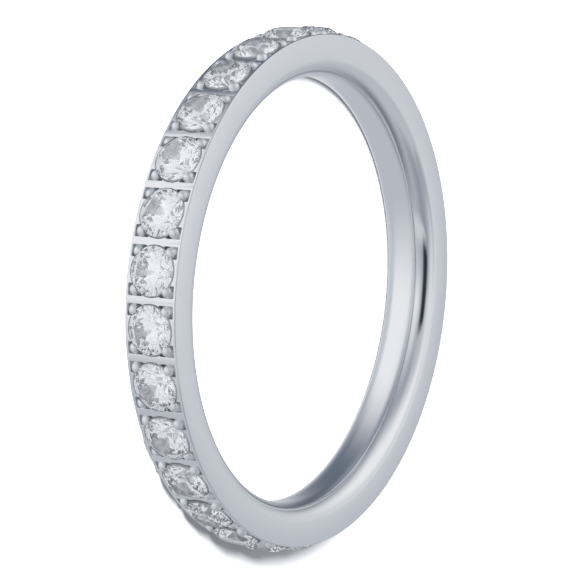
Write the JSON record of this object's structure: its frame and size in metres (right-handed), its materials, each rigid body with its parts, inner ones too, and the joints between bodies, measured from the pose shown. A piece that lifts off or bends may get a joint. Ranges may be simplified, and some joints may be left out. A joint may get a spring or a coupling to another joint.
{
  "type": "cubic zirconia eternity ring",
  "caption": "Slim comfort-fit finger ring of polished white metal, its outside set all the way round with round brilliants, each held by four corner beads.",
  "frame": {"origin": "centre of the ring's lower flat side, on the surface that the ring lies on", "axes": "+Z along the finger hole, up from the surface; -Y towards the stone named stone_01; the stones count up anticlockwise, seen from above"},
  "size_m": [0.0212, 0.0212, 0.0023],
  "materials": {
    "white_metal": "rhodium-plated sterling silver, high polish",
    "cubic_zirconia": "colourless cubic zirconia, cut and polished facets"
  },
  "bodies": {
    "root": {"band": "white_metal", "stone_01": "cubic_zirconia", "stone_02": "cubic_zirconia", "stone_03": "cubic_zirconia", "stone_04": "cubic_zirconia", "stone_05": "cubic_zirconia", "stone_06": "cubic_zirconia", "stone_07": "cubic_zirconia", "stone_08": "cubic_zirconia", "stone_09": "cubic_zirconia", "stone_10": "cubic_zirconia", "stone_11": "cubic_zirconia", "stone_12": "cubic_zirconia", "stone_13": "cubic_zirconia", "stone_14": "cubic_zirconia", "stone_15": "cubic_zirconia", "stone_16": "cubic_zirconia", "stone_17": "cubic_zirconia", "stone_18": "cubic_zirconia", "stone_19": "cubic_zirconia", "stone_20": "cubic_zirconia", "stone_21": "cubic_zirconia", "stone_22": "cubic_zirconia", "stone_23": "cubic_zirconia", "stone_24": "cubic_zirconia", "stone_25": "cubic_zirconia", "stone_26": "cubic_zirconia", "stone_27": "cubic_zirconia", "stone_28": "cubic_zirconia", "stone_29": "cubic_zirconia"}
  },
  "joints": []
}
